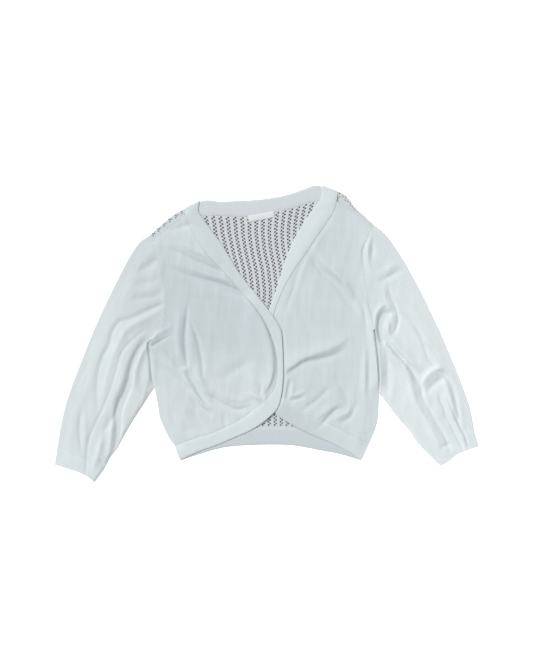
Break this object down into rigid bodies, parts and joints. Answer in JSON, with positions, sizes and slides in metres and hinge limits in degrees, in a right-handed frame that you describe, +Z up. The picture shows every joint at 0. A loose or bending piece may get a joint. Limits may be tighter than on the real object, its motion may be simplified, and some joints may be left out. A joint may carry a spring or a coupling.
{
  "type": "cardigan",
  "caption": "Cropped fine-knit cardigan laid flat, with crossed fronts in a curved ribbed band, set-in three-quarter sleeves and an openwork back.",
  "frame": {"origin": "centre of the part's footprint, on the surface that it lies on", "axes": "+Z up from that surface, +Y toward the collar, +X toward the wearer's left sleeve"},
  "size_m": [0.764, 0.5356, 0.012],
  "materials": {
    "openwork": "openwork knit, matt",
    "jersey": "fine plain knit, matt",
    "rib": "fine double rib, matt",
    "label": "woven label, satin"
  },
  "bodies": {
    "root": {"back_panel": "openwork", "front_right": "jersey", "front_left": "jersey", "band_right": "rib", "band_left": "rib", "band_back_neck": "rib", "band_back_hem": "rib", "sleeve_right": "jersey", "sleeve_left": "jersey", "cuff_right": "rib", "cuff_left": "rib", "label": "label"}
  },
  "joints": []
}
